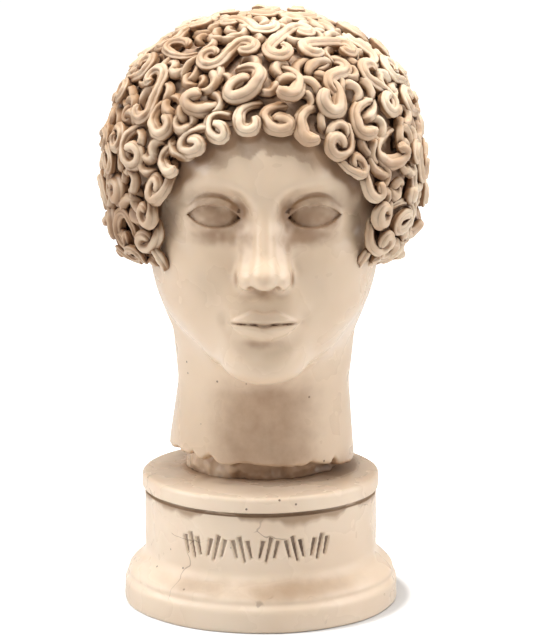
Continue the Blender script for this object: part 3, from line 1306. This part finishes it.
# %% Half the outline, from the middle of the underside to the middle of the top
FOOT_RADIUS = 34.9
FOOT_HEIGHT = 12.4
FOOT_FILLET = 1.8
DRUM_RADIUS = 29.5
RING_RADIUS = 30.2
RING_HEIGHT = 3.8
RING_ROUNDING = 1.2
COVE_HEIGHT = 1.1
COVE_DEPTH = 0.8


def bezier(points, count):
    t = np.linspace(0, 1, count + 1)[1:, None]
    points = [np.array(p, float) for p in points]
    while len(points) > 1:
        points = [a * (1 - t) + b * t for a, b in zip(points, points[1:])]
    return points[0]


def plinth_outline():
    ring_bottom = PLINTH_HEIGHT - RING_HEIGHT
    shoulder = DRUM_RADIUS + FOOT_FILLET
    low = (FOOT_RADIUS, FOOT_HEIGHT * 0.34)
    high = (shoulder, FOOT_HEIGHT - FOOT_FILLET * 0.9)
    parts = [[(0.05, 0), (15, 0), (28, 0), (33, 0)]]
    parts += [bezier([(33, 0), (FOOT_RADIUS, 0), (FOOT_RADIUS, 0), (FOOT_RADIUS, 1.2)], 8), [low]]
    bulge = [(FOOT_RADIUS, FOOT_HEIGHT * 0.6), (shoulder + 0.75 * (FOOT_RADIUS - shoulder), FOOT_HEIGHT * 0.7)]
    parts += [bezier([low, *bulge, high], 26)]
    parts += [bezier([high, (DRUM_RADIUS, FOOT_HEIGHT), (DRUM_RADIUS, FOOT_HEIGHT + FOOT_FILLET)], 10)]
    parts += [bezier([(DRUM_RADIUS, FOOT_HEIGHT + FOOT_FILLET), (DRUM_RADIUS, ring_bottom - COVE_HEIGHT)], 52)]
    cove = [(DRUM_RADIUS, ring_bottom - COVE_HEIGHT), (DRUM_RADIUS - COVE_DEPTH, ring_bottom - COVE_HEIGHT * 0.9)]
    parts += [bezier([*cove, (DRUM_RADIUS - COVE_DEPTH, ring_bottom - 0.1)], 8)]
    under = [(DRUM_RADIUS - COVE_DEPTH, ring_bottom - 0.1), (DRUM_RADIUS - COVE_DEPTH, ring_bottom)]
    parts += [bezier([*under, (RING_RADIUS - 0.4, ring_bottom)], 5)]
    parts += [bezier([(RING_RADIUS - 0.4, ring_bottom), (RING_RADIUS, ring_bottom), (RING_RADIUS, ring_bottom + 0.7)], 6)]
    top_turn = (RING_RADIUS, PLINTH_HEIGHT - RING_ROUNDING)
    parts += [bezier([(RING_RADIUS, ring_bottom + 0.7), top_turn], 4)]
    parts += [bezier([top_turn, (RING_RADIUS, PLINTH_HEIGHT), (RING_RADIUS - RING_ROUNDING, PLINTH_HEIGHT)], 10)]
    parts += [bezier([(RING_RADIUS - RING_ROUNDING, PLINTH_HEIGHT), (0.05, PLINTH_HEIGHT)], 30)]
    return np.concatenate([np.array(p, float) for p in parts])


# %% Spin the outline, with narrow columns in front, and let the cast be slightly uneven
ROLL_HEIGHT = 6.9  # where a shallow line parts the foot's two rolls
ROLL_PARTING = 0.4
FRONT_HALF_ANGLE = 46.0  # degrees of narrow columns each way
NARROW = 0.5  # degrees
WIDE = 2.0


def plinth_mesh():
    outline = plinth_outline()
    front = np.arange(-FRONT_HALF_ANGLE, FRONT_HALF_ANGLE, NARROW)
    a = np.radians(np.concatenate([front, np.arange(FRONT_HALF_ANGLE, 360 - FRONT_HALF_ANGLE, WIDE)]))
    r, z = outline[:, :1], outline[:, 1:]
    x, y = r * np.sin(a), -r * np.cos(a)
    z = np.broadcast_to(z, x.shape)
    inward = 0.16 + 0.16 * lumps(x, y, z, 11.0, 7) + 0.05 * lumps(x, y, z, 3.0, 8)
    inward = inward + ROLL_PARTING * np.exp(-(((z - ROLL_HEIGHT) / 0.9) ** 2)) * (r > DRUM_RADIUS)
    x, y = x * (1 - inward / 30), y * (1 - inward / 30)
    points = np.stack([x, y, z], -1).reshape(-1, 3) * MM
    rows, columns = len(outline), len(a)
    i, j = np.meshgrid(np.arange(rows - 1), np.arange(columns), indexing="ij")
    k = (j + 1) % columns
    quads = np.stack([i * columns + j, i * columns + k, (i + 1) * columns + k, (i + 1) * columns + j], -1)
    return points, quads.reshape(-1, 4), rows, columns


plinth_points, plinth_quads, plinth_rows, plinth_columns = plinth_mesh()
plinth_base = make_piece("plinth_blank", plinth_points, plinth_quads)
print("plinth outline:", plinth_rows, "rows,", plinth_columns, "columns")

# %% [markdown]
# ## The cut strokes
# The front of the drum carries six groups of three leaning wedge cuts, which say nothing. Each wedge is
# a small flat shape laid on the drum. Geometry Nodes repeat it along the row, and every point of the
# plinth that lies within a wedge is pressed in. A Boolean would cut as well, but leaves long thin faces,
# and pressing in also gives a soft, cast edge.

# %% The tree that lays out the wedges and presses them in
STROKE_INPUTS = {
    "Groups": ("NodeSocketInt", 6),
    "Strokes in Group": ("NodeSocketInt", 3),
    "Height": ("NodeSocketFloat", 6.4 * MM),
    "Width": ("NodeSocketFloat", 0.95 * MM),
    "Depth": ("NodeSocketFloat", 0.65 * MM),
    "Row Width": ("NodeSocketFloat", 37.0 * MM),
    "Row Aside": ("NodeSocketFloat", -1.4 * MM),
    "Row Height": ("NodeSocketFloat", (FOOT_HEIGHT + 7.4) * MM),
    "Drum Radius": ("NodeSocketFloat", DRUM_RADIUS * MM),
    "Lean": ("NodeSocketFloat", 0.22),
    "Soft Edge": ("NodeSocketFloat", 0.26 * MM),
    "Finish": ("NodeSocketMaterial", None),
}


def wedge(tree, given):
    """An upright shape in the plane of x and z, whose lower end is narrower."""
    grid = add_node(tree, "GeometryNodeMeshGrid", {"Size X": 1.0, "Size Y": 1.0, "Vertices X": 2, "Vertices Y": 2})
    spot = add_node(tree, "ShaderNodeSeparateXYZ", {0: add_node(tree, "GeometryNodeInputPosition").outputs[0]})
    narrowing = maths(tree, "ADD", 0.7, maths(tree, "MULTIPLY", spot.outputs[1], 0.6))
    x = maths(tree, "MULTIPLY", maths(tree, "MULTIPLY", spot.outputs[0], given["Width"]), narrowing)
    z = maths(tree, "MULTIPLY", spot.outputs[1], given["Height"])
    upright = add_node(tree, "ShaderNodeCombineXYZ", {0: x, 2: z}).outputs[0]
    wires = {"Geometry": grid.outputs["Mesh"], "Position": upright}
    return add_node(tree, "GeometryNodeSetPosition", wires).outputs[0]


def stroke_angles(tree, given):
    """The angle round the drum, the place in its group and the group of each stroke."""
    number = add_node(tree, "GeometryNodeInputIndex").outputs[0]
    in_group = given["Strokes in Group"]
    group = maths(tree, "FLOOR", maths(tree, "DIVIDE", maths(tree, "ADD", number, 0.01), in_group))
    place = maths(tree, "SUBTRACT", number, maths(tree, "MULTIPLY", group, in_group))
    aside = maths(tree, "SUBTRACT", place, maths(tree, "DIVIDE", maths(tree, "SUBTRACT", in_group, 1.0), 2.0))
    share = maths(tree, "DIVIDE", maths(tree, "DIVIDE", given["Row Width"], 2.0), given["Drum Radius"])
    half = maths(tree, "ARCSINE", share)
    per_group = maths(tree, "DIVIDE", maths(tree, "MULTIPLY", half, 2.0), given["Groups"])
    spacing = maths(tree, "DIVIDE", per_group, maths(tree, "ADD", in_group, 0.6))
    turn = maths(tree, "ARCSINE", maths(tree, "DIVIDE", given["Row Aside"], given["Drum Radius"]))
    middle = maths(tree, "MULTIPLY", maths(tree, "ADD", group, 0.5), per_group)
    middle = maths(tree, "ADD", maths(tree, "SUBTRACT", middle, half), turn)
    return maths(tree, "ADD", middle, maths(tree, "MULTIPLY", aside, spacing)), aside, group


def laid_out_wedges(tree, given):
    count = maths(tree, "MULTIPLY", given["Groups"], given["Strokes in Group"])
    row = add_node(tree, "GeometryNodeMeshLine", {"Count": count}).outputs[0]
    angle, aside, group = stroke_angles(tree, given)
    x = maths(tree, "MULTIPLY", maths(tree, "SINE", angle), given["Drum Radius"])
    y = maths(tree, "MULTIPLY", maths(tree, "COSINE", angle), maths(tree, "MULTIPLY", given["Drum Radius"], -1.0))
    spot = add_node(tree, "ShaderNodeCombineXYZ", {0: x, 1: y, 2: given["Row Height"]}).outputs[0]
    row = add_node(tree, "GeometryNodeSetPosition", {"Geometry": row, "Position": spot}).outputs[0]
    odd = maths(tree, "MODULO", group, 2.0)
    side = maths(tree, "SUBTRACT", 1.0, maths(tree, "MULTIPLY", odd, 2.0))
    lean = maths(tree, "MULTIPLY", maths(tree, "MULTIPLY", side, given["Lean"]), -1.0)
    turned = add_node(tree, "ShaderNodeCombineXYZ", {1: lean, 2: angle}).outputs[0]
    shorter = maths(tree, "SUBTRACT", 1.0, maths(tree, "MULTIPLY", maths(tree, "ABSOLUTE", aside), 0.3))
    size = add_node(tree, "ShaderNodeCombineXYZ", {0: 1.0, 1: 1.0, 2: shorter}).outputs[0]
    wires = {"Points": row, "Instance": wedge(tree, given), "Rotation": turned, "Scale": size}
    placed_wedges = add_node(tree, "GeometryNodeInstanceOnPoints", wires).outputs[0]
    return add_node(tree, "GeometryNodeRealizeInstances", {"Geometry": placed_wedges}).outputs[0]


def stroke_press():
    tree = new_tree("stroke_press", STROKE_INPUTS)
    given = add_node(tree, "NodeGroupInput").outputs
    spot = add_node(tree, "ShaderNodeSeparateXYZ", {0: add_node(tree, "GeometryNodeInputPosition").outputs[0]})
    round_about = add_node(tree, "ShaderNodeCombineXYZ", {0: spot.outputs[0], 1: spot.outputs[1]}).outputs[0]
    round_about = add_node(tree, "ShaderNodeVectorMath", {0: round_about}, operation="NORMALIZE").outputs[0]
    wires = {"Vector": round_about, "Scale": given["Drum Radius"]}
    on_drum = add_node(tree, "ShaderNodeVectorMath", wires, operation="SCALE").outputs[0]
    height = add_node(tree, "ShaderNodeCombineXYZ", {2: spot.outputs[2]}).outputs[0]
    on_drum = add_node(tree, "ShaderNodeVectorMath", {0: on_drum, 1: height}).outputs[0]
    wires = {"Target": laid_out_wedges(tree, given), "Source Position": on_drum}
    gap = add_node(tree, "GeometryNodeProximity", wires, target_element="FACES").outputs["Distance"]
    within = maths(tree, "SUBTRACT", 1.0, maths(tree, "DIVIDE", gap, given["Soft Edge"]), clamp=True)
    within = ramp(tree, within, 0.0, 1.0)
    wires = {"Geometry": given["Geometry"], "Name": "cut", "Value": within}
    marked = add_node(tree, "GeometryNodeStoreNamedAttribute", wires, data_type="FLOAT").outputs[0]
    place = add_node(tree, "GeometryNodeInputPosition").outputs[0]
    level = add_node(tree, "ShaderNodeVectorMath", {0: place, 1: (-1, -1, 0)}, operation="MULTIPLY").outputs[0]
    inward = add_node(tree, "ShaderNodeVectorMath", {0: level}, operation="NORMALIZE").outputs[0]
    depth = maths(tree, "MULTIPLY", named(tree, "cut"), given["Depth"])
    wires = {"Vector": inward, "Scale": depth}
    offset = add_node(tree, "ShaderNodeVectorMath", wires, operation="SCALE").outputs[0]
    pressed = add_node(tree, "GeometryNodeSetPosition", {"Geometry": marked, "Offset": offset}).outputs[0]
    smooth = add_node(tree, "GeometryNodeSetShadeSmooth", {"Geometry": pressed}).outputs[0]
    single = add_node(tree, "GeometryNodeRealizeInstances", {"Geometry": smooth}).outputs[0]
    wires = {"Geometry": single, "Material": given["Finish"]}
    finished = add_node(tree, "GeometryNodeSetMaterial", wires).outputs[0]
    add_node(tree, "NodeGroupOutput", {0: finished})
    return tree


plinth = grown("turned_plinth", plinth_base, stroke_press(), {"Finish": plinth_ivory})

# %% [markdown]
# ## Measuring the hollows
# The wash settles where a finger can't reach. To find those places, every piece is put into one volume
# that stores the distance to the nearest surface. From each point of each piece, steps are taken
# straight out: in the open, the distance grows as fast as the step, and in a hollow it doesn't. Short
# steps give the attribute "crease", and long ones give "hollow".

# %% One volume of distances for all pieces
REACH_VOXEL = 0.4  # millimetres
CREASE_STEPS = (0.6, 1.2)
HOLLOW_STEPS = (2.4, 4.8)
STROKE_WASH = 0.86  # how strongly the cut strokes hold the wash
GROOVE_WASH = 0.6  # how strongly cut lines and grooves hold the wash
parts = [face, hair_base, *hair_pieces, plinth]


def mesh_arrays(piece):
    mesh = piece.data
    mesh.calc_loop_triangles()
    points = np.empty(len(mesh.vertices) * 3, np.float32)
    mesh.vertices.foreach_get("co", points)
    normals = np.empty(len(mesh.vertices) * 3, np.float32)
    mesh.vertex_normals.foreach_get("vector", normals)
    triangles = np.empty(len(mesh.loop_triangles) * 3, np.int32)
    mesh.loop_triangles.foreach_get("vertices", triangles)
    return points.reshape(-1, 3) / MM, normals.reshape(-1, 3), triangles.reshape(-1, 3)


def distance_volume(pieces):
    points, triangles, count = [], [], 0
    for piece in pieces:
        p, _, t = mesh_arrays(piece)
        points.append(p)
        triangles.append(t + count)
        count += len(p)
    points = np.concatenate(points)
    band = max(HOLLOW_STEPS) / REACH_VOXEL + 1
    grid = openvdb.FloatGrid.createLevelSetFromPolygons(
        points.astype(np.float32),
        triangles=np.concatenate(triangles).astype(np.uint32),
        transform=openvdb.createLinearTransform(REACH_VOXEL),
        exBandWidth=band,
        inBandWidth=3.0,
    )
    first = np.floor((points.min(0) - 8) / REACH_VOXEL).astype(int)
    size = np.ceil((points.max(0) + 8) / REACH_VOXEL).astype(int) - first
    field = np.empty(size, np.float32)
    grid.copyToArray(field, ijk=tuple(int(i) for i in first))
    return field, first


def sampled_at(field, first, points):
    spot = points / REACH_VOXEL - first
    cell = np.clip(np.floor(spot).astype(int), 0, np.array(field.shape) - 2)
    t = spot - cell
    total = 0.0
    for corner in np.ndindex(2, 2, 2):
        weight = np.prod(np.where(corner, t, 1 - t), axis=-1)
        total = total + weight * field[tuple((cell + corner).T)]
    return total


# %% Write "crease" and "hollow" on every piece
def closed_in(field, first, points, normals, steps):
    open_share = [np.clip(sampled_at(field, first, points + normals * s) / s, 0, 1) for s in steps]
    return 1 - np.mean(open_share, axis=0)


def near_line(gap, width):
    """1 on a line, falling to nothing about as far away as its width."""
    return np.exp(-((gap / width) ** 2))


def eye_stain(x, f, z):
    """Wash in the fold over the lid, around the lids' edges and in the socket."""
    aside = x - EYE[0]
    upper, lower = lid_edges(x)
    fold = near_line(z - upper - 2.4, 0.8) * near_line(aside / 7.5, 1) ** 2
    edge = near_line(np.maximum(np.maximum(z - upper, lower - z), 0.7 * (np.abs(aside) - LID_HALF_WIDTH)), 0.5)
    socket = near_line(np.hypot(aside / 9.5, (z - 41.4) / 6.2), 1)
    corner = near_line(np.hypot(x - 6.2, z - 42.4), 3.4)
    below = near_line(np.hypot((aside + 2) / 8.5, (z - 36.6) / 3.2), 1)
    return np.maximum.reduce([0.95 * fold, 0.8 * edge, 0.7 * socket, 0.95 * corner, 0.8 * below])


def nose_and_mouth_stain(x, f, z):
    wing = near_line(np.hypot((x - 6.8) / 0.6, (z - 26.3) / 2.6), 1)
    under_nose = near_line(np.hypot(x / 5, (z - 23.3) / 1.3), 1)
    under_lip = near_line(np.hypot(x / 6, (z - 10.4) / 1.6), 1)
    corner = near_line(np.hypot((x - MOUTH_HALF_WIDTH) / 1.5, z - MOUTH_HEIGHT + 0.2), 0.9)
    side = near_line(np.hypot((x - 5.6) / 1.6, (z - 37) / 6), 1)
    seam = near_line(np.hypot((z - MOUTH_HEIGHT) / 0.8, (x / (MOUTH_HALF_WIDTH + 0.5)) ** 4), 1)
    return np.maximum.reduce([0.75 * wing, 0.7 * under_nose, 0.6 * under_lip, 0.35 * corner, 0.6 * side, 0.6 * seam])


def skin_stain(points):
    """The wash left on bare skin: along the hairline, in the features, under the chin, at the break."""
    x, f, z = points[:, 0] - HEAD_ASIDE, -points[:, 1], points[:, 2] - PLINTH_HEIGHT - CHIN_ABOVE_PLINTH
    front = f > 18
    patchy = 0.95 + 0.25 * lumps(x, f, z, 3.1, 14) + 0.15 * lumps(x, f, z, 1.2, 20)
    ragged = 0.09 * lumps(x, f, z, 3.4, 11) + 0.04 * lumps(x, f, z, 1.3, 12)
    share = window_share(x, z) + ragged
    above = np.clip((z - 34) / 8, 0, 1) * (f > -2)
    band = np.clip((share - 0.76) / 0.03, 0, 1) * np.clip((z - 50) / 4, 0, 1)
    hairline = np.clip((share - 0.91) / 0.05, 0, 1)
    neck = np.clip(1.1 - (x / 17) ** 2, 0, 1) * np.clip((3 - z) / 9, 0, 1) * np.clip(f / 8, 0, 1)
    low = np.clip((-20 - z) / 5, 0, 1) * (0.8 + 0.4 * lumps(x, f, z, 5.0, 13))
    features = np.maximum(eye_stain(np.abs(x), f, z), nose_and_mouth_stain(np.abs(x), f, z)) * patchy * front
    return np.maximum.reduce([0.5 * band * above, 0.75 * hairline * above, features, 0.58 * neck, 0.5 * low])


def pits(points):
    """Little dark pits at the inner corners of the eyes."""
    x, f, z = points[:, 0] - HEAD_ASIDE, -points[:, 1], points[:, 2] - PLINTH_HEIGHT - CHIN_ABOVE_PLINTH
    corner = near_line(np.hypot(np.abs(x) - 6.0, z - 42.2), 2.6) * (f > 18)
    return corner * np.clip(2.6 * lumps(x, f, z, 1.0, 21) - 0.5, 0, 1)


def unwiped_share(points):
    """How much of its wash the head kept: less on one side of the rough core and beside the eyes."""
    x, f, z = points[:, 0] - HEAD_ASIDE, -points[:, 1], points[:, 2] - PLINTH_HEIGHT - CHIN_ABOVE_PLINTH
    on_core = (z < break_height(np.arctan2(x, f - NECK_MIDDLE)) - 0.2) & (z < -20)
    rubbed = np.clip((-5 - x) / 4, 0, 1) * (0.8 + 0.5 * lumps(x, f, z, 2.5, 15))
    temple = np.clip((np.abs(x) - 17) / 3, 0, 1) * np.clip((48 - z) / 5, 0, 1) * np.clip((z - 14) / 4, 0, 1) * (f > 4)
    return (1 - np.clip(0.65 * rubbed * on_core, 0, 0.8)) * (1 - 0.6 * temple)


def plinth_stain(points):
    """Wash rubbed down from the ring in patches, and a soft cloud of it on the front of the foot."""
    x, y, z = points.T
    below = PLINTH_HEIGHT - RING_HEIGHT - z
    reach = 2.4 + 3.4 * lumps(x, y, 0, 5.0, 16) + 0.9 * lumps(x, y, 0, 1.6, 17)
    smudge = np.clip(1 - below / np.maximum(reach, 0.4), 0, 1) * (below > 0)
    front = np.clip(-y / DRUM_RADIUS - 0.2, 0, 1)
    cloud = near_line((z - 10.2) / 3.2, 1) * front * (1 + 0.25 * lumps(x, y, z, 7.0, 18))
    return np.clip(np.maximum(1.5 * smudge, 0.85 * cloud), 0, 1)


def lock_stain(points):
    """More wash on the locks of one side, in patches as wide as a few locks."""
    x, y, z = points.T
    return 0.04 - 0.2 * np.clip(x / 22, -1, 0.6) + 0.12 * lumps(x, y, z, 9.0, 19)


volume, volume_first = distance_volume(parts)
for piece in parts:
    points, normals, _ = mesh_arrays(piece)
    for title, steps in (("crease", CREASE_STEPS), ("hollow", HOLLOW_STEPS)):
        value = closed_in(volume, volume_first, points, normals, steps)
        if title == "crease" and "cut" in piece.data.attributes:
            groove = np.empty(len(points), np.float32)
            piece.data.attributes["cut"].data.foreach_get("value", groove)
            value = np.maximum(value, (STROKE_WASH if piece == plinth else GROOVE_WASH) * groove)
        if title == "hollow" and piece == face:
            value = np.maximum(value, skin_stain(points))
        if title == "crease" and piece == face:
            value = np.maximum(value, pits(points))
        if title == "hollow" and piece == plinth:
            value = np.maximum(value, plinth_stain(points))
        if title == "hollow" and piece in hair_pieces:
            value = np.clip(value + lock_stain(points), 0, 1)
        if piece == face:
            value = value * unwiped_share(points)
        layer = piece.data.attributes.new(title, "FLOAT", "POINT")
        layer.data.foreach_set("value", value.astype(np.float32))
        print(piece.name, title, "mean", round(float(value.mean()), 3))

# %% Give the pieces their finishes, and say what each stands for
face.data.materials.append(smooth_ivory)
hair_base.data.materials.append(deep_hair)
for piece in [face, hair_base, *hair_pieces]:
    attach(piece, "root")
    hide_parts("head")
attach(plinth, "root")
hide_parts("plinth")
print("pieces:", [p.name for p in parts])
